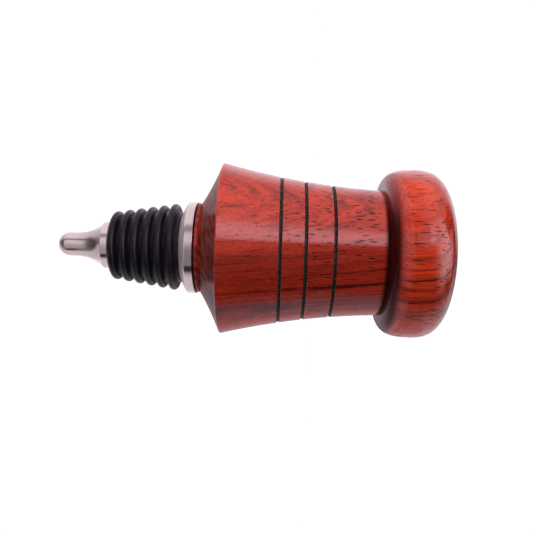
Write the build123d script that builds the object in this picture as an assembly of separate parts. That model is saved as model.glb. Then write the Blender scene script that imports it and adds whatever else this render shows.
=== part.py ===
"""Bottle stopper: a turned hardwood handle on a steel stopper with a ribbed sleeve.

The stopper stands on the flat end of its knob, at z = 0, with the steel tip up.
Every piece is turned or moulded about the Z axis. Lengths are in millimetres.
"""

from build123d import *
from math import asin, cos, hypot, pi, radians, sin, sqrt, tan
import os

# Turned handle, measured from the flat end of the knob
HANDLE_LENGTH = 60.0
KNOB_DIAMETER = 40.45
KNOB_HEIGHT = 15.9
KNOB_WIDEST_HEIGHT = 8.9
KNOB_END_DEPTH = 9.2
KNOB_END_FULLNESS = 3.15
KNOB_NECK_FULLNESS = 2.75
NECK_DIAMETER = 30.25
SKIRT_DIAMETER = 41.35
SKIRT_EDGE_HEIGHT = 53.8
FLANK_HOLLOW = 1.02
SKIRT_EDGE_ROUND = 0.25
COVE_HOLLOW = 0.25
COLLAR_DIAMETER = 21.7
COLLAR_LENGTH = 1.05
COLLAR_EDGE_ROUND = 0.35

# Three lines burned round the flank with a wire held against the turning wood
BURNED_LINE_HEIGHTS = (27.75, 34.25, 39.9)
BURN_WIRE_DIAMETER = 0.84
BURN_DEPTH = 0.28

# Steel body, measured from the flange's back face, which sits on the handle
FLANGE_DIAMETER = 22.3
FLANGE_RIM_LENGTH = 2.1
FLANGE_CONE_LENGTH = 1.5
FLANGE_CONE_SMALL_DIAMETER = 16.4
FLANGE_CORNER_ROUND = 0.55
FLANGE_BACK_ROUND = 0.12
LAND_DIAMETER = 11.4
LAND_LENGTH = 1.75
LAND_EDGE_ROUND = 0.15
FLARE_RADIUS = 11.1
BARREL_DIAMETER = 5.74
TIP_LENGTH = 11.6

# Ribbed sleeve, moulded in one piece and stretched over the tapered core
RIB_COUNT = 6
RIB_PITCH = 2.8
RIB_THICKNESS = 1.76
RIB_DEPTH = 2.1
FIRST_RIB_DIAMETER = 16.7
LAST_RIB_DIAMETER = 21.05
SLEEVE_WALL = 1.2
SLEEVE_COLLAR_DIAMETER = 17.1
SLEEVE_COLLAR_LENGTH = 1.05
SLEEVE_COLLAR_ROUND = 0.2
SLEEVE_NOSE_LENGTH = 1.4
SLEEVE_NOSE_STEP = 0.08
NOSE_TANGENT_ANGLE = 55.0
SLEEVE_CLEARANCE = 0.02

# Threaded stud that joins the body to the handle
STUD_DIAMETER = 9.525
STUD_IN_HANDLE = 15.0
STUD_IN_BODY = 9.0
STUD_CHAMFER = 0.8
THREAD_CLEARANCE = 0.05
HOLE_END_ROOM = 0.8
DRILL_POINT_HALF_ANGLE = 59.0

# Heights that follow from the sizes above
SEAT = HANDLE_LENGTH
SHOULDER = SEAT + FLANGE_RIM_LENGTH + FLANGE_CONE_LENGTH
LAST_RIB = SHOULDER + SLEEVE_COLLAR_LENGTH + RIB_THICKNESS / 2
FIRST_RIB = LAST_RIB + (RIB_COUNT - 1) * RIB_PITCH
SLEEVE_TOP = FIRST_RIB + SLEEVE_NOSE_LENGTH
LAND_TOP = SLEEVE_TOP + LAND_LENGTH
TIP = LAND_TOP + TIP_LENGTH


def at(radius, height):
    """A point of a turned profile."""
    return Vector(radius, 0, height)


def turn(edges):
    """The solid that a closed profile makes when it turns about the Z axis."""
    return revolve(make_face(edges), axis=Axis.Z)


def bowed(start, end, hollow):
    """A shallow arc from start to end whose middle lies hollow mm nearer the axis."""
    chord = end - start
    across = Vector(abs(chord.Z), 0, abs(chord.X) if chord.X * chord.Z < 0 else -abs(chord.X))
    return ThreePointArc(start, (start + end) / 2 - across.normalized() * hollow, end)


def fullness_curve(widest, depth, rise, fullness, last_angle=pi / 2, points=9):
    """Half of a bead: a superellipse from its widest circle, depth mm along Z and rise mm inward.

    A fullness of 2 is an ellipse, and a larger one is squarer.
    """
    curve = []
    for step in range(points):
        angle = last_angle * step / (points - 1)
        across = abs(cos(angle)) ** (2 / fullness)
        along = abs(sin(angle)) ** (2 / fullness)
        curve.append(widest + Vector(-rise * (1 - across), 0, depth * along))
    return curve


def flank_radius(height):
    """Radius of the handle's hollow flank at a height between the knob and the skirt."""
    low, high = (NECK_DIAMETER / 2, KNOB_HEIGHT), (SKIRT_DIAMETER / 2, SKIRT_EDGE_HEIGHT)
    chord = hypot(high[0] - low[0], high[1] - low[1])
    bend = (chord**2 / 4 + FLANK_HOLLOW**2) / (2 * FLANK_HOLLOW)
    reach = (bend - FLANK_HOLLOW) / chord
    centre_radius = (low[0] + high[0]) / 2 + (high[1] - low[1]) * reach
    centre_height = (low[1] + high[1]) / 2 - (high[0] - low[0]) * reach
    return centre_radius - sqrt(bend**2 - (height - centre_height) ** 2)


def crest_radius(height):
    """Radius of the line along the rib crests, which widens towards the flange."""
    share = (FIRST_RIB - height) / (FIRST_RIB - LAST_RIB)
    return (FIRST_RIB_DIAMETER + (LAST_RIB_DIAMETER - FIRST_RIB_DIAMETER) * share) / 2


def core_radius(height):
    """Radius of the tapered steel core, a wall's thickness below the sleeve's grooves."""
    return crest_radius(height) - RIB_DEPTH - SLEEVE_WALL


def blind_hole(depth):
    """A drilled hole for the stud, from z = 0 down, with a drill point at its end."""
    radius = STUD_DIAMETER / 2 + THREAD_CLEARANCE
    floor = -(depth + HOLE_END_ROOM)
    point = floor - radius / tan(radians(DRILL_POINT_HALF_ANGLE))
    return turn(Polyline(at(0, 0), at(radius, 0), at(radius, floor), at(0, point), at(0, 0)))


def round_edge(solid, height, radius, size):
    """Rounds the circular edge of a turned solid at the given height and radius."""
    edges = [
        edge
        for edge in solid.edges().filter_by(GeomType.CIRCLE)
        if abs(edge.center(CenterOf.BOUNDING_BOX).Z - height) < 0.01 and abs(edge.radius - radius) < 0.01
    ]
    return fillet(edges, size)


def turned_handle():
    """Knob, hollow flank, flared skirt and the cove under it, with its burned lines."""
    knob_radius = KNOB_DIAMETER / 2
    neck, skirt = NECK_DIAMETER / 2, SKIRT_DIAMETER / 2
    collar = COLLAR_DIAMETER / 2
    widest = at(knob_radius, KNOB_WIDEST_HEIGHT)
    flat_share = (KNOB_WIDEST_HEIGHT / KNOB_END_DEPTH) ** (KNOB_END_FULLNESS / 2)
    to_flat = fullness_curve(widest, -KNOB_END_DEPTH, knob_radius, KNOB_END_FULLNESS, asin(flat_share))
    to_neck = fullness_curve(
        widest, KNOB_HEIGHT - KNOB_WIDEST_HEIGHT, knob_radius - neck, KNOB_NECK_FULLNESS
    )
    flat_edge, neck_edge = to_flat[-1], to_neck[-1]
    skirt_edge = at(skirt, SKIRT_EDGE_HEIGHT)
    cove_end = at(collar, SEAT - COLLAR_LENGTH)
    body = turn(
        [
            Line(at(0, 0), flat_edge),
            Spline(to_flat[::-1]),
            Spline(to_neck),
            bowed(neck_edge, skirt_edge, FLANK_HOLLOW),
            bowed(skirt_edge, cove_end, COVE_HOLLOW),
            Line(cove_end, at(collar, SEAT)),
            Line(at(collar, SEAT), at(0, SEAT)),
            Line(at(0, SEAT), at(0, 0)),
        ]
    )
    body = round_edge(body, SKIRT_EDGE_HEIGHT, skirt, SKIRT_EDGE_ROUND)
    body = round_edge(body, SEAT, collar, COLLAR_EDGE_ROUND)
    body -= Pos(0, 0, SEAT) * blind_hole(STUD_IN_HANDLE)
    for height in BURNED_LINE_HEIGHTS:
        wire = BURN_WIRE_DIAMETER / 2
        body -= Pos(0, 0, height) * Torus(flank_radius(height) + wire - BURN_DEPTH, wire)
    return body


def stopper_body():
    """Steel: flange and its cone, the core under the sleeve, the land, the flare and the round tip."""
    rim, cone = FLANGE_DIAMETER / 2, FLANGE_CONE_SMALL_DIAMETER / 2
    land, barrel = LAND_DIAMETER / 2, BARREL_DIAMETER / 2
    flare_angle = pi / 2 - asin(1 - (land - barrel) / FLARE_RADIUS)
    flare_end = at(barrel, LAND_TOP + FLARE_RADIUS * sin(flare_angle))
    flare_middle = at(
        barrel + FLARE_RADIUS * (1 - cos(flare_angle / 2)),
        flare_end.Z - FLARE_RADIUS * sin(flare_angle / 2),
    )
    nose_start = at(barrel, TIP - barrel)
    nose_middle = at(barrel * cos(pi / 4), TIP - barrel + barrel * sin(pi / 4))
    body = turn(
        [
            Polyline(
                at(0, SEAT),
                at(rim, SEAT),
                at(rim, SEAT + FLANGE_RIM_LENGTH),
                at(cone, SHOULDER),
                at(core_radius(SHOULDER), SHOULDER),
                at(core_radius(SLEEVE_TOP), SLEEVE_TOP),
                at(land, SLEEVE_TOP),
                at(land, LAND_TOP),
            ),
            ThreePointArc(at(land, LAND_TOP), flare_middle, flare_end),
            Line(flare_end, nose_start),
            ThreePointArc(nose_start, nose_middle, at(0, TIP)),
            Line(at(0, TIP), at(0, SEAT)),
        ]
    )
    body = round_edge(body, SEAT + FLANGE_RIM_LENGTH, rim, FLANGE_CORNER_ROUND)
    body = round_edge(body, SEAT, rim, FLANGE_BACK_ROUND)
    body = round_edge(body, LAND_TOP, land, LAND_EDGE_ROUND)
    return body - Pos(0, 0, SEAT) * Rot(180, 0, 0) * blind_hole(STUD_IN_BODY)


def sleeve_outline():
    """Outer profile of the sleeve from its collar on the flange to its nose on the land."""
    half_rib = RIB_THICKNESS / 2
    half_gap = (RIB_PITCH - RIB_THICKNESS) / 2
    collar = SLEEVE_COLLAR_DIAMETER / 2
    land = LAND_DIAMETER / 2 + SLEEVE_NOSE_STEP
    outline = []
    here = at(collar, SHOULDER)
    for rib in range(RIB_COUNT):
        height = LAST_RIB + rib * RIB_PITCH
        crest_centre = at(crest_radius(height) - half_rib, height)
        near_side = crest_centre - Vector(0, 0, half_rib)
        far_side = crest_centre + Vector(0, 0, half_rib)
        if rib == 0:
            corner = at(collar, near_side.Z)
            outline += [Line(here, corner), Line(corner, near_side)]
        else:
            outline.append(Line(here, near_side))
        crest = crest_centre + Vector(half_rib, 0, 0)
        if rib == RIB_COUNT - 1:
            lean = radians(NOSE_TANGENT_ANGLE)
            nose_start = crest_centre + Vector(half_rib * cos(lean), 0, half_rib * sin(lean))
            outline.append(ThreePointArc(near_side, crest, nose_start))
            outline.append(
                TangentArc(nose_start, at(land, SLEEVE_TOP), tangent=(-sin(lean), 0, cos(lean)))
            )
        else:
            root = crest_radius(height + RIB_PITCH / 2) - RIB_DEPTH
            groove_start = at(root + half_gap, far_side.Z)
            groove_end = at(root + half_gap, far_side.Z + 2 * half_gap)
            outline.append(ThreePointArc(near_side, crest, far_side))
            outline.append(Line(far_side, groove_start))
            outline.append(
                ThreePointArc(groove_start, at(root, height + RIB_PITCH / 2), groove_end)
            )
            here = groove_end
    return outline


def ribbed_sleeve():
    """Silicone sleeve with its ribs, its collar against the flange and its nose against the land."""
    bottom = core_radius(SHOULDER) + SLEEVE_CLEARANCE
    top = core_radius(SLEEVE_TOP) + SLEEVE_CLEARANCE
    outline = sleeve_outline()
    first, last = at(SLEEVE_COLLAR_DIAMETER / 2, SHOULDER), outline[-1] @ 1
    sleeve = turn(
        [Line(at(bottom, SHOULDER), first)]
        + outline
        + [Line(last, at(top, SLEEVE_TOP)), Line(at(top, SLEEVE_TOP), at(bottom, SHOULDER))]
    )
    return round_edge(sleeve, SHOULDER, SLEEVE_COLLAR_DIAMETER / 2, SLEEVE_COLLAR_ROUND)


def threaded_stud():
    """Headless stud, half in the handle and half in the steel body."""
    length = STUD_IN_HANDLE + STUD_IN_BODY
    stud = Pos(0, 0, SEAT - STUD_IN_HANDLE + length / 2) * Cylinder(STUD_DIAMETER / 2, length)
    return chamfer(stud.edges().filter_by(GeomType.CIRCLE), STUD_CHAMFER)


def main():
    os.makedirs("parts", exist_ok=True)
    for piece in (turned_handle, stopper_body, ribbed_sleeve, threaded_stud):
        export_step(piece(), f"parts/{piece.__name__}.step")


main()
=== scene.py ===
"""Bottle stopper: lacquered hardwood handle, turned steel body and ribbed silicone sleeve.

The part stands on its knob. The camera lies on its side, as in the reference view, where the
axis runs across the picture with the steel tip on the left.
"""
from math import cos, pi, radians, sin, tau

import bpy
from mathutils import Matrix, Vector


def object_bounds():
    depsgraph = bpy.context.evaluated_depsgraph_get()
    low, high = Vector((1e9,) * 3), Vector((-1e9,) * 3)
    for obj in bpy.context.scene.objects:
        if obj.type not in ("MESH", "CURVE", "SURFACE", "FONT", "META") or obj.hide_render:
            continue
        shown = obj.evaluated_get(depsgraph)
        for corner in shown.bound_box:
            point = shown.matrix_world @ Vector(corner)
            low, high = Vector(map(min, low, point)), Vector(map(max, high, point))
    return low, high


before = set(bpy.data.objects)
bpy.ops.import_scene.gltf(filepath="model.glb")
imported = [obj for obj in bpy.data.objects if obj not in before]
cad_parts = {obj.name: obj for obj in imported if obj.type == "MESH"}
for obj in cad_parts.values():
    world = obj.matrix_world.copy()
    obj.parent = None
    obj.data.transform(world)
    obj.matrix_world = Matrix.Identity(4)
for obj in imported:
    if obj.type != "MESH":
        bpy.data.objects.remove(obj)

CAD_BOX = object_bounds()
MM = 0.001

# The reference view, measured in a picture 533 pixels wide
PICTURE_WIDTH = 533
FOCAL_LENGTH_PX = 600.0
METRES_PER_PX = 0.000245
SENSOR_WIDTH_MM = 36.0
AXIS_ABOVE_CENTRE_PX = 16.8
KNOB_END_RIGHT_OF_CENTRE_PX = 176.3
AXIS_TURN_DEG = 1.75
AXIS_SWING_DEG = -1.06

# Places on the object that the finishes and the painted shade follow, in millimetres above the knob's end
BURNED_LINES = (27.75, 34.25, 39.9)
BURNED_HALF_WIDTH = 0.38
SKIRT_EDGE = 53.8
SEAT_LINE = 59.62
CONE = (62.1, 63.6)
CREASE = 15.95
KNOB_FADE = (15.0, 12.0)

# The growth layers of the wood face this way round the axis, from the camera's side. They lie
# nearest to the axis at one height, and bend away from it above and below.
LAYER_FACING_DEG = 37.0
LAYER_BEND_HEIGHT = 29.0
LAYER_BEND = 0.0029
LAYER_SWAY = 1.5
# Dark layers: distance from the axis and half width, in millimetres, then the strength on the
# flank and on the knob. Those narrower than a broad one fade here and there on the flank.
BROAD_LAYER = 1.0
DARK_LAYERS = ((0.4, 3.00, 0.36, 0.05), (2.2, 0.20, 0.30, 0.45), (3.4, 0.16, 0.45, 0.50),
               (6.0, 0.42, 0.96, 0.62), (6.9, 0.12, 0.35, 0.25), (8.4, 0.22, 0.10, 0.50),
               (8.9, 0.16, 0.70, 0.20), (10.4, 0.20, 0.15, 0.90), (10.8, 3.30, 0.31, 0.0),
               (12.3, 0.18, 0.25, 0.50), (14.2, 0.40, 0.05, 0.45), (15.2, 0.14, 0.34, 0.20),
               (15.8, 0.12, 0.40, 0.10), (16.3, 0.20, 0.40, 0.50), (16.8, 0.12, 0.45, 0.20),
               (17.3, 0.20, 0.34, 0.30), (18.1, 0.30, 0.30, 0.30))


def rgba(red, green, blue):
    """An opaque colour."""
    return (red, green, blue, 1.0)


WOOD_ORANGE = rgba(0.90, 0.062, 0.019)
WOOD_RED = rgba(0.68, 0.042, 0.019)
WOOD_PALE = rgba(0.90, 0.110, 0.040)
WOOD_DEEP = rgba(0.36, 0.017, 0.010)
WOOD_DARK = rgba(0.070, 0.008, 0.009)
WOOD_SMOKE = rgba(0.060, 0.024, 0.060)
WOOD_SAWN = rgba(0.46, 0.052, 0.036)
SHADE_BLACK = rgba(0.036, 0.005, 0.005)
PORE_BROWN = rgba(0.025, 0.006, 0.007)
PORE_GLINT_PALE = rgba(0.45, 0.26, 0.24)
BURNED_BLACK = rgba(0.008, 0.008, 0.009)
BURNED_GREY = rgba(0.17, 0.15, 0.15)
STEEL_DARK = rgba(0.680, 0.600, 0.563)
STEEL_BRIGHT = rgba(0.735, 0.655, 0.617)
SILICONE_BLACK = rgba(0.012, 0.010, 0.0135)
SILICONE_GREY = rgba(0.0165, 0.0135, 0.0190)
FLOOR_GREY = rgba(0.10, 0.10, 0.10)
WHITE = rgba(1.0, 1.0, 1.0)


class Graph:
    """A node tree. Each method adds one node and returns its output socket."""

    def __init__(self, tree):
        self.tree = tree
        tree.nodes.clear()

    def node(self, kind, **settings):
        made = self.tree.nodes.new(kind)
        for key, value in settings.items():
            setattr(made, key, value)
        return made

    def feed(self, socket, value):
        if isinstance(value, bpy.types.NodeSocket):
            self.tree.links.new(value, socket)
        else:
            socket.default_value = value

    def math(self, operation, *values):
        made = self.node("ShaderNodeMath", operation=operation)
        for socket, value in zip(made.inputs, values):
            self.feed(socket, value)
        return made.outputs[0]

    def vector(self, operation, *values):
        made = self.node("ShaderNodeVectorMath", operation=operation)
        for socket, value in zip(made.inputs, values):
            self.feed(socket, value)
        return made.outputs["Value" if operation == "DOT_PRODUCT" else "Vector"]

    def combine(self, x, y, z):
        made = self.node("ShaderNodeCombineXYZ")
        for socket, value in zip(made.inputs, (x, y, z)):
            self.feed(socket, value)
        return made.outputs[0]

    def separate(self, vector):
        made = self.node("ShaderNodeSeparateXYZ")
        self.feed(made.inputs[0], vector)
        return made.outputs[0], made.outputs[1], made.outputs[2]

    def spread(self, value, low, high, to_low=0.0, to_high=1.0, smooth=True):
        """Takes value from the range low..high to the range to_low..to_high, and holds it there."""
        curve = "SMOOTHSTEP" if smooth else "LINEAR"
        made = self.node("ShaderNodeMapRange", interpolation_type=curve)
        for socket, number in zip(made.inputs, (value, low, high, to_low, to_high)):
            self.feed(socket, number)
        return made.outputs[0]

    def mix(self, factor, first, second):
        """A colour between two others: first where factor is 0, second where it is 1."""
        made = self.node("ShaderNodeMix", data_type="RGBA")
        self.feed(made.inputs[0], factor)
        self.feed(made.inputs[6], first)
        self.feed(made.inputs[7], second)
        return made.outputs[2]

    def noise(self, vector, detail=2.0, roughness=0.5):
        """Soft noise about 0.5, with one swell for each unit of the vector."""
        made = self.node("ShaderNodeTexNoise", noise_dimensions="3D")
        self.feed(made.inputs["Vector"], vector)
        made.inputs["Scale"].default_value = 1.0
        made.inputs["Detail"].default_value = detail
        made.inputs["Roughness"].default_value = roughness
        return made.outputs[0]

    def cells(self, vector):
        """Distance to the nearest scattered point, and that point's random colour."""
        made = self.node("ShaderNodeTexVoronoi", feature="F1")
        self.feed(made.inputs["Vector"], vector)
        made.inputs["Scale"].default_value = 1.0
        return made.outputs["Distance"], made.outputs["Color"]

    def blend(self, factor, first, second):
        """A number between two others: first where factor is 0, second where it is 1."""
        made = self.node("ShaderNodeMix", data_type="FLOAT")
        self.feed(made.inputs[0], factor)
        self.feed(made.inputs[2], first)
        self.feed(made.inputs[3], second)
        return made.outputs[0]

    def bump(self, height, distance):
        """A normal that follows the height, whose unit stands for that distance in metres."""
        made = self.node("ShaderNodeBump")
        made.inputs["Strength"].default_value = 1.0
        made.inputs["Distance"].default_value = distance
        self.feed(made.inputs["Height"], height)
        return made.outputs[0]

    def position_mm(self):
        """The place on the object, in millimetres."""
        made = self.node("ShaderNodeTexCoord")
        return self.vector("MULTIPLY", made.outputs["Object"], (1 / MM, 1 / MM, 1 / MM))


def new_material(name):
    """An empty material and the helper that fills its node tree."""
    material = bpy.data.materials.new(name)
    material.use_nodes = True
    return material, Graph(material.node_tree)


def surface(g, **inputs):
    """The one shader of a material. Its inputs are named with underscores for spaces."""
    shader = g.node("ShaderNodeBsdfPrincipled")
    for key, value in inputs.items():
        g.feed(shader.inputs[key.replace("_", " ")], value)
    output = g.node("ShaderNodeOutputMaterial")
    g.feed(output.inputs["Surface"], shader.outputs[0])


def line_mask(g, value, centre, half_width, softness):
    """1 where the value lies within that half width of the centre, and 0 outside it."""
    away = g.math("ABSOLUTE", g.math("SUBTRACT", value, centre))
    return g.spread(away, half_width - softness, half_width + softness, 1.0, 0.0)


def growth_layers(g, place, z):
    """How far out a place lies across the growth layers, and how far along one."""
    facing = radians(LAYER_FACING_DEG)
    across = g.vector("DOT_PRODUCT", place, (sin(facing), -cos(facing), 0.0))
    aside = g.vector("DOT_PRODUCT", place, (cos(facing), sin(facing), 0.0))
    off = g.math("SUBTRACT", z, LAYER_BEND_HEIGHT)
    bend = g.math("MULTIPLY", g.math("MULTIPLY", off, off), LAYER_BEND)
    sway = g.noise(g.vector("MULTIPLY", place, (0.17, 0.17, 0.05)), detail=3.0)
    swayed = g.math("ADD", across, g.math("MULTIPLY", g.math("SUBTRACT", sway, 0.5), LAYER_SWAY))
    return g.math("SUBTRACT", swayed, bend), aside


def figure(g, place, z, layer, aside, knob):
    """The colour of the wood itself: broad waves, dark layers and fine threads along the grain."""
    def grain(across, along, height, **settings):
        """Noise with its own scale across the layers, along them and along the handle."""
        scaled = g.combine(g.math("MULTIPLY", layer, across), g.math("MULTIPLY", aside, along),
                           g.math("MULTIPLY", z, height))
        return g.noise(scaled, **settings)

    waves = grain(0.8, 0.07, 0.03, detail=4.0, roughness=0.6)
    streaks = grain(3.0, 0.35, 0.045, detail=3.0, roughness=0.6)
    threads = grain(7.0, 2.2, 0.14, detail=2.0)
    fibres = g.noise(g.vector("MULTIPLY", place, (5.5, 5.5, 0.28)), detail=3.0, roughness=0.6)
    outer = g.spread(layer, 12.0, 16.0, 0.0, 0.45)
    colour = g.mix(g.math("MAXIMUM", knob, outer), WOOD_RED, WOOD_ORANGE)
    for mask, strength, tone in (
            (g.spread(waves, 0.44, 0.70), 0.60, WOOD_DEEP),
            (g.spread(streaks, 0.50, 0.70), g.blend(knob, 0.60, 0.33), WOOD_DARK),
            (g.spread(threads, 0.52, 0.72), g.blend(knob, 0.50, 0.52), WOOD_DARK),
            (g.spread(threads, 0.48, 0.30), g.spread(layer, 9.0, 5.0, 0.10, 0.50), WOOD_PALE),
            (g.spread(fibres, 0.50, 0.28), g.blend(knob, 0.45, 0.65), WOOD_PALE),
            (g.spread(fibres, 0.50, 0.72), 0.50, WOOD_DEEP)):
        colour = g.mix(g.math("MULTIPLY", mask, strength), colour, tone)

    patches = g.noise(g.vector("MULTIPLY", place, (0.25, 0.25, 0.11)))
    fading = g.math("MULTIPLY", g.spread(patches, 0.38, 0.56, 0.38, 1.0), g.spread(z, 50.0, 38.0, 0.5, 1.0))
    fading = g.blend(knob, fading, 1.0)
    for centre, half_width, on_flank, on_knob in DARK_LAYERS:
        strength = g.blend(knob, on_flank, on_knob)
        if half_width < BROAD_LAYER:
            strength = g.math("MULTIPLY", strength, fading)
        ring = line_mask(g, layer, centre, half_width, half_width * 0.9)
        colour = g.mix(g.math("MULTIPLY", ring, strength), colour, WOOD_DARK)

    clouds = g.noise(g.vector("MULTIPLY", place, (0.35, 0.35, 0.10)), detail=4.0, roughness=0.6)
    smoke = g.math("MULTIPLY", line_mask(g, layer, -0.6, 2.4, 1.6), g.spread(z, 22.0, 46.0, 0.42, 1.0))
    return g.mix(g.math("MULTIPLY", smoke, g.spread(clouds, 0.40, 0.60)), colour, WOOD_SMOKE)


def pores(g, place, x, z, knob):
    """Open pores, short dashes along the grain, and their colour: dark, or pale painted glints on the
    shaded side.
    """
    across = g.blend(knob, 2.1, 2.4)
    along = g.blend(knob, 0.30, 0.16)
    cell, chance = g.cells(g.vector("MULTIPLY", place, g.combine(across, across, along)))
    first, second, third = g.separate(chance)
    size = g.spread(third, 0.0, 1.0, 0.65, 1.2, smooth=False)
    reach = g.math("MULTIPLY", g.spread(z, 50.0, 28.0, 0.18, 0.29), size)
    likely = g.math("MULTIPLY", g.spread(z, 48.0, 28.0, 0.60, 0.80), g.spread(x, -8.0, 3.0, 0.45, 1.0))
    likely = g.blend(knob, likely, 0.74)
    present = g.math("LESS_THAN", first, likely)
    inside = g.spread(g.math("DIVIDE", cell, reach), 0.78, 1.02, 1.0, 0.0)
    pore = g.math("MULTIPLY", inside, present)
    # Painted glints: pale pores on the shaded side of the flank stand for light caught at their edges
    painted_pore_glint = g.math("MULTIPLY", g.spread(second, 0.78, 0.80, 0.0, 0.45), g.spread(x, 2.0, -2.0))
    painted_pore_glint = g.blend(knob, painted_pore_glint, 0.0)
    return pore, g.mix(painted_pore_glint, PORE_BROWN, PORE_GLINT_PALE)


def burned_mask(g, place, z):
    """1 inside the three burned lines, with slightly ragged edges."""
    ragged = g.noise(g.vector("MULTIPLY", place, (3.0, 3.0, 3.0)), detail=2.0)
    ragged_z = g.math("ADD", z, g.math("MULTIPLY", g.math("SUBTRACT", ragged, 0.5), 0.12))
    burned = 0.0
    for height in BURNED_LINES:
        burned = g.math("MAXIMUM", burned, line_mask(g, ragged_z, height, BURNED_HALF_WIDTH, 0.05))
    return burned


def painted_crease_shade(g, place, x, z):
    """Painted shade: 1 in the hollow between knob and flank, less on its sides, and a little mottled."""
    crease_shade = g.math("MULTIPLY", g.spread(z, 13.2, 14.8), g.spread(z, CREASE, CREASE + 1.2, 1.0, 0.0))
    mottled = g.noise(g.vector("MULTIPLY", place, (2.2, 2.2, 1.0)), detail=3.0, roughness=0.6)
    for shade in (g.spread(x, 15.0, 6.0, 0.38, 0.98), g.spread(x, -15.0, -7.0, 0.86, 1.0),
                  g.spread(mottled, 0.35, 0.62, 0.96, 1.0)):
        crease_shade = g.math("MULTIPLY", crease_shade, shade)
    return crease_shade


def sawn_colour(g, layer, aside, z):
    """The darker wood of the cove and the collar, which cut across the grain."""
    scaled = g.combine(layer, g.math("MULTIPLY", aside, 0.30), g.math("MULTIPLY", z, 0.25))
    rings = g.noise(scaled, detail=3.0, roughness=0.6)
    return g.mix(g.spread(rings, 0.32, 0.70), WOOD_SAWN, WOOD_DARK)


def hardwood():
    """Red hardwood under clear lacquer: layered figure, open pores and three burned lines, with painted
    shade in the crease and at the seat.
    """
    material, g = new_material("hardwood_lacquered")
    place = g.position_mm()
    x, _, z = g.separate(place)
    layer, aside = growth_layers(g, place, z)
    knob = g.spread(z, *KNOB_FADE)
    colour = figure(g, place, z, layer, aside, knob)
    crease_shade = painted_crease_shade(g, place, x, z)
    # Painted shade: the crease between knob and flank is darkened, less so on the light's side
    colour = g.mix(crease_shade, colour, SHADE_BLACK)
    sawn = g.spread(z, SKIRT_EDGE, SKIRT_EDGE + 0.25)
    colour = g.mix(g.math("MULTIPLY", sawn, 0.9), colour, sawn_colour(g, layer, aside, z))
    # Painted shade: a dark line in the gap where the collar meets the flange
    colour = g.mix(g.spread(z, SEAT_LINE - 0.08, SEAT_LINE + 0.08), colour, SHADE_BLACK)

    pore, pore_colour = pores(g, place, x, z, knob)
    pore = g.math("MULTIPLY", pore, g.math("SUBTRACT", 1.0, crease_shade))
    colour = g.mix(g.math("MULTIPLY", pore, 0.94), colour, pore_colour)

    burned = burned_mask(g, place, z)
    char = g.noise(g.vector("MULTIPLY", place, (5.0, 5.0, 5.0)), detail=3.0)
    charred = g.mix(g.spread(char, 0.56, 0.68), BURNED_BLACK, BURNED_GREY)
    colour = g.mix(burned, colour, charred)

    fine = g.noise(g.vector("MULTIPLY", place, (7.0, 7.0, 0.8)), detail=2.0)
    height = g.math("ADD", g.math("MULTIPLY", g.math("MULTIPLY", burned, char), 0.12),
                    g.math("MULTIPLY", fine, g.blend(sawn, 0.004, 0.013)))
    relief = g.bump(g.math("SUBTRACT", height, g.math("MULTIPLY", pore, 0.03)), MM)

    # The lacquer's gloss is weaker where the wood is burned, sawn, darkened by the painted crease shade, or
    # open
    lacquer = g.spread(burned, 0.0, 1.0, 1.0, 0.25)
    for mask, left in ((sawn, 0.30), (crease_shade, 0.25), (pore, 0.3)):
        lacquer = g.math("MULTIPLY", lacquer, g.spread(mask, 0.0, 1.0, 1.0, left, smooth=False))
    surface(g, Base_Color=colour, Roughness=g.spread(burned, 0.0, 1.0, 0.42, 0.7), Normal=relief,
            Coat_Normal=relief, Specular_IOR_Level=0.0, Coat_Weight=lacquer,
            Coat_Roughness=0.07, Coat_IOR=1.5)
    return material


def turned_steel(name):
    """Bright turned steel. Its lathe marks run round the axis and spread the shine along it."""
    material, g = new_material(name)
    x, y, z = g.separate(g.position_mm())
    radius = g.math("SQRT", g.math("ADD", g.math("MULTIPLY", x, x), g.math("MULTIPLY", y, y)))
    scaled = g.combine(g.math("MULTIPLY", z, 9.0), g.math("MULTIPLY", radius, 9.0), 0.0)
    marks = g.noise(scaled, detail=3.0)
    colour = g.mix(g.spread(marks, 0.3, 0.7), STEEL_DARK, STEEL_BRIGHT)
    # The flange's cone is left dull
    cone_begins = g.spread(z, CONE[0] - 0.1, CONE[0] + 0.15)
    cone = g.math("MULTIPLY", cone_begins, g.spread(z, CONE[1], CONE[1] + 0.02, 1.0, 0.0))
    polish = g.spread(marks, 0.3, 0.7, 0.15, 0.20)
    tangent = g.node("ShaderNodeTangent", direction_type="RADIAL", axis="Z").outputs[0]
    surface(g, Base_Color=colour, Metallic=1.0, Roughness=g.blend(cone, polish, 0.80),
            Anisotropic=0.6, Anisotropic_Rotation=0.25, Tangent=tangent, Normal=g.bump(marks, 0.001 * MM))
    return material


def silicone():
    """Black moulded silicone with a soft satin sheen."""
    material, g = new_material("silicone_black")
    place = g.position_mm()
    cloudy = g.noise(g.vector("MULTIPLY", place, (0.5, 0.5, 0.5)), detail=3.0)
    grain = g.noise(g.vector("MULTIPLY", place, (14.0, 14.0, 14.0)), detail=2.0)
    colour = g.mix(g.spread(cloudy, 0.3, 0.7), SILICONE_BLACK, SILICONE_GREY)
    surface(g, Base_Color=colour, Roughness=g.spread(cloudy, 0.3, 0.7, 0.26, 0.34),
            Specular_IOR_Level=0.19, Normal=g.bump(grain, 0.01 * MM))
    return material


def dress(node, material):
    """Gives a CAD node this material alone."""
    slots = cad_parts[node].data.materials
    slots.clear()
    slots.append(material)


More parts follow.
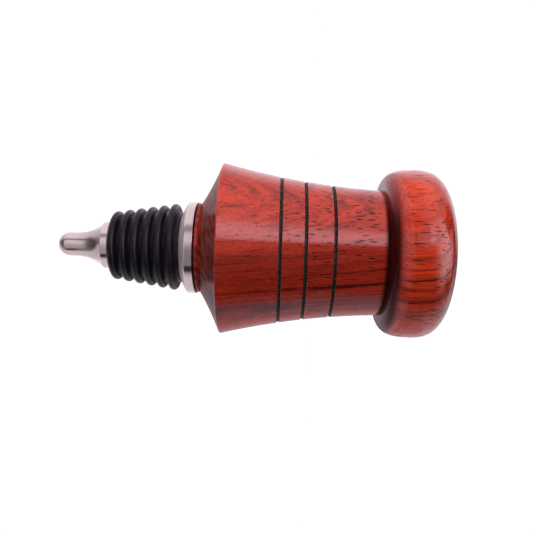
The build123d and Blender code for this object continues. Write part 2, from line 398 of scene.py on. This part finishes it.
def reference_camera():
    """A camera that sees the stopper as the reference view does, with the axis across the picture."""
    # In the picture's own frame, x points right, y down and z away from the camera
    turn = radians(AXIS_TURN_DEG)
    swing = radians(AXIS_SWING_DEG)
    towards_knob = Vector((cos(turn) * cos(swing), sin(turn) * cos(swing), sin(swing)))
    forward = Vector((0.0, 0.0, 1.0))
    z_axis = -towards_knob
    y_axis = (forward - forward.dot(towards_knob) * towards_knob).normalized()
    x_axis = y_axis.cross(z_axis)
    to_camera = Matrix((x_axis, y_axis, z_axis)).transposed()
    middle = Vector((0.0, -AXIS_ABOVE_CENTRE_PX, FOCAL_LENGTH_PX))
    origin = (middle + KNOB_END_RIGHT_OF_CENTRE_PX * towards_knob) * METRES_PER_PX
    from_camera = to_camera.transposed()
    right = from_camera @ Vector((1.0, 0.0, 0.0))
    up = from_camera @ Vector((0.0, -1.0, 0.0))
    back = from_camera @ Vector((0.0, 0.0, -1.0))

    lens = bpy.data.cameras.new("camera")
    lens.sensor_width = SENSOR_WIDTH_MM
    lens.lens = SENSOR_WIDTH_MM * FOCAL_LENGTH_PX / PICTURE_WIDTH
    lens.clip_start = 0.01
    lens.clip_end = 20.0
    camera = bpy.data.objects.new("camera", lens)
    camera.matrix_world = (Matrix.Translation(from_camera @ -origin)
                           @ Matrix((right, up, back)).transposed().to_4x4())
    bpy.context.scene.collection.objects.link(camera)
    bpy.context.scene.camera = camera


# What the gloss of the object reflects: soft panels far round it, each painted over those before
# it. Round the axis, 0 degrees faces the camera and 90 the light's side. Along it, 90 degrees is
# below the knob and -90 above the tip. A panel has its brightness near the middle and towards the
# tip, then the four angles round the axis at which it begins, is full, is full until and ends, and
# the same along the axis.
TIP_SIDE = (-96.0, -95.0, -9.0, 1.0)
PANELS = {
    "tip_room": (0.38, 0.08, (-182.0, -181.0, 181.0, 182.0), (-96.0, -95.0, -6.0, 0.0)),
    "tip_roof": (1.10, 0.46, (49.0, 63.0, 156.0, 168.0), TIP_SIDE),
    "tip_table": (0.84, 0.60, (-162.0, -150.0, -82.0, -65.0), TIP_SIDE),
    "tip_back_roof": (0.60, 0.70, (150.0, 166.0, 181.0, 182.0), TIP_SIDE),
    "tip_back_table": (0.60, 0.75, (-182.0, -181.0, -158.0, -142.0), TIP_SIDE),
    "tip_back_roof_near": (1.20, 1.30, (140.0, 160.0, 181.0, 182.0), (-60.0, -42.0, -10.0, 2.0)),
    "tip_back_table_near": (1.00, 1.30, (-182.0, -181.0, -154.0, -134.0), (-60.0, -42.0, -10.0, 2.0)),
    "tip_end": (0.25, 0.25, (30.0, 60.0, 181.0, 182.0), (-96.0, -95.0, -79.0, -63.0)),
    "tip_dark": (0.30, 0.05, (-62.0, -44.0, 56.0, 98.0), (-96.0, -95.0, -58.0, -42.0)),
    "tip_front_low": (0.50, 0.44, (-49.0, -36.0, 10.0, 30.0), (-58.0, -44.0, -9.0, 1.0)),
    "tip_front_high": (0.88, 0.70, (-26.0, 20.0, 31.0, 42.0), (-57.0, -43.0, -9.0, 1.0)),
    "tip_front_near": (0.25, 0.25, (-50.0, -38.0, -12.0, 16.0), (-15.0, -11.0, -6.0, 0.0)),
    "tip_gap": (0.02, 0.12, (-67.0, -63.0, -50.0, -46.0), (-36.0, -24.0, -6.0, 0.0)),
    "roof_near": (0.45, 0.45, (44.0, 56.0, 114.0, 126.0), (-9.0, 1.0, 8.0, 18.0)),
    "roof_middle": (0.98, 0.98, (34.0, 48.0, 112.0, 128.0), (6.0, 15.0, 42.0, 56.0)),
    "roof_back": (1.30, 1.30, (102.0, 130.0, 160.0, 186.0), (-12.0, 4.0, 44.0, 60.0)),
    "table_near": (0.55, 0.55, (-190.0, -150.0, -104.0, -68.0), (-8.0, 1.0, 10.0, 20.0)),
    "table_right": (1.00, 1.00, (-190.0, -150.0, -104.0, -68.0), (8.0, 20.0, 50.0, 68.0)),
    "below_knob": (2.00, 2.00, (-182.0, -181.0, 181.0, 182.0), (66.0, 84.0, 95.0, 96.0)),
    "lamp_side": (1.00, 1.00, (2.0, 14.0, 22.0, 38.0), (-2.0, 7.0, 12.0, 20.0)),
    "lamp": (3.30, 3.30, (9.0, 15.0, 26.0, 48.0), (10.0, 16.0, 20.0, 38.0)),
}
LAMP_RIGHT = (3.50, 3.50, (-80.0, -26.0, 44.0, 58.0), (14.0, 44.0, 95.0, 96.0))
# The right lamp is cut off aslant: it fades in as the look turns this way, from the first of these
# cosines to the second
LAMP_RIGHT_WAY = (0.637, 0.392, -0.663)
LAMP_RIGHT_FADE = (-0.50, 0.25)
# Along the axis, a panel goes over from its tip brightness to its middle one between these angles
TIP_TO_MIDDLE = (-80.0, -12.0)
ROOM_TINT = rgba(1.0, 0.90, 1.0)
BACKDROP_STRENGTH = 1.05
FLOOR_WIDTH = 1.2

# Soft square lights that shade the object and don't show in it: how strongly they light a surface
# that faces them, where they stand, round the axis and along it, in degrees, and their width. Their
# distance and width are in metres.
LIGHT_DISTANCE = 0.45
SOFT_LIGHTS = {
    "key": (0.84, 52.0, 8.0, 0.30),
    "fill_front": (0.14, 0.0, 10.0, 0.40),
    "fill_below": (0.42, -100.0, 5.0, 0.40),
    "fill_tip": (0.12, 30.0, -60.0, 0.30),
    "back": (0.55, 165.0, 0.0, 0.40),
    "back_low": (0.45, -140.0, 10.0, 0.40),
}


def studio():
    """White surroundings with the soft panels and dark gaps that show in the steel and the lacquer."""
    world = bpy.data.worlds.new("studio")
    world.use_nodes = True
    world.cycles_visibility.diffuse = False
    bpy.context.scene.world = world
    g = Graph(world.node_tree)
    direction = g.node("ShaderNodeTexCoord").outputs["Generated"]
    x, y, z = g.separate(direction)
    degrees = 360.0 / tau
    round_axis = g.math("MULTIPLY", g.math("ARCTAN2", x, g.math("MULTIPLY", y, -1.0)), degrees)
    along_axis = g.math("MULTIPLY", g.math("ARCSINE", g.math("MULTIPLY", z, -1.0)), degrees)

    def band(value, begins, full, full_until, ends):
        """1 from full to full_until, and 0 before it begins and after it ends."""
        rise = g.spread(value, begins, full)
        fall = g.spread(value, full_until, ends, 1.0, 0.0)
        return g.math("MULTIPLY", rise, fall)

    def panel(light, middle, tip, turned, along, cut=1.0):
        """The light with one more panel over it."""
        shape = g.math("MULTIPLY", band(round_axis, *turned), band(along_axis, *along))
        level = g.spread(along_axis, *TIP_TO_MIDDLE, tip, middle, smooth=False)
        return g.blend(g.math("MULTIPLY", shape, cut), light, level)

    light = 0.0
    for values in PANELS.values():
        light = panel(light, *values)
    slanted = g.spread(g.vector("DOT_PRODUCT", direction, LAMP_RIGHT_WAY), *LAMP_RIGHT_FADE)
    light = panel(light, *LAMP_RIGHT, cut=slanted)
    background = g.node("ShaderNodeBackground")
    background.inputs["Color"].default_value = ROOM_TINT
    g.feed(background.inputs["Strength"], light)
    white = g.node("ShaderNodeBackground")
    white.inputs["Color"].default_value = WHITE
    white.inputs["Strength"].default_value = BACKDROP_STRENGTH
    seen = g.node("ShaderNodeLightPath").outputs["Is Camera Ray"]
    chosen = g.node("ShaderNodeMixShader")
    g.feed(chosen.inputs[0], seen)
    g.feed(chosen.inputs[1], background.outputs[0])
    g.feed(chosen.inputs[2], white.outputs[0])
    output = g.node("ShaderNodeOutputWorld")
    g.feed(output.inputs["Surface"], chosen.outputs[0])


def studio_lights():
    """Soft lights for the shading, which neither the camera nor any gloss shows."""
    middle = (CAD_BOX[0] + CAD_BOX[1]) / 2
    for name, (level, turned, along, size) in SOFT_LIGHTS.items():
        turn, rise = radians(turned), radians(along)
        way = Vector((sin(turn) * cos(rise), -cos(turn) * cos(rise), -sin(rise)))
        data = bpy.data.lights.new(name, "AREA")
        data.size = size
        data.energy = level * (pi * LIGHT_DISTANCE) ** 2
        light = bpy.data.objects.new(name, data)
        light.location = middle + way * LIGHT_DISTANCE
        light.rotation_euler = way.to_track_quat("Z", "Y").to_euler()
        light.visible_camera = False
        light.visible_glossy = False
        bpy.context.scene.collection.objects.link(light)


def pale_floor():
    """A plain pale floor under the knob. It takes a faint shadow, and shows in no reflection."""
    half = FLOOR_WIDTH / 2
    mesh = bpy.data.meshes.new("floor")
    corners = [(-half, -half, 0.0), (half, -half, 0.0), (half, half, 0.0), (-half, half, 0.0)]
    mesh.from_pydata(corners, [], [(0, 1, 2, 3)])
    floor = bpy.data.objects.new("floor", mesh)
    bpy.context.scene.collection.objects.link(floor)
    material, g = new_material("floor_pale")
    surface(g, Base_Color=FLOOR_GREY, Roughness=0.9, Specular_IOR_Level=0.0,
            Emission_Color=WHITE, Emission_Strength=1.0)
    mesh.materials.append(material)
    floor.visible_glossy = False
    floor.visible_diffuse = False
    floor.visible_shadow = False


dress("turned_handle", hardwood())
dress("stopper_body", turned_steel("steel_turned"))
dress("threaded_stud", turned_steel("steel_stud"))
dress("ribbed_sleeve", silicone())
studio()
studio_lights()
pale_floor()
reference_camera()
bpy.context.scene.view_settings.view_transform = "Standard"
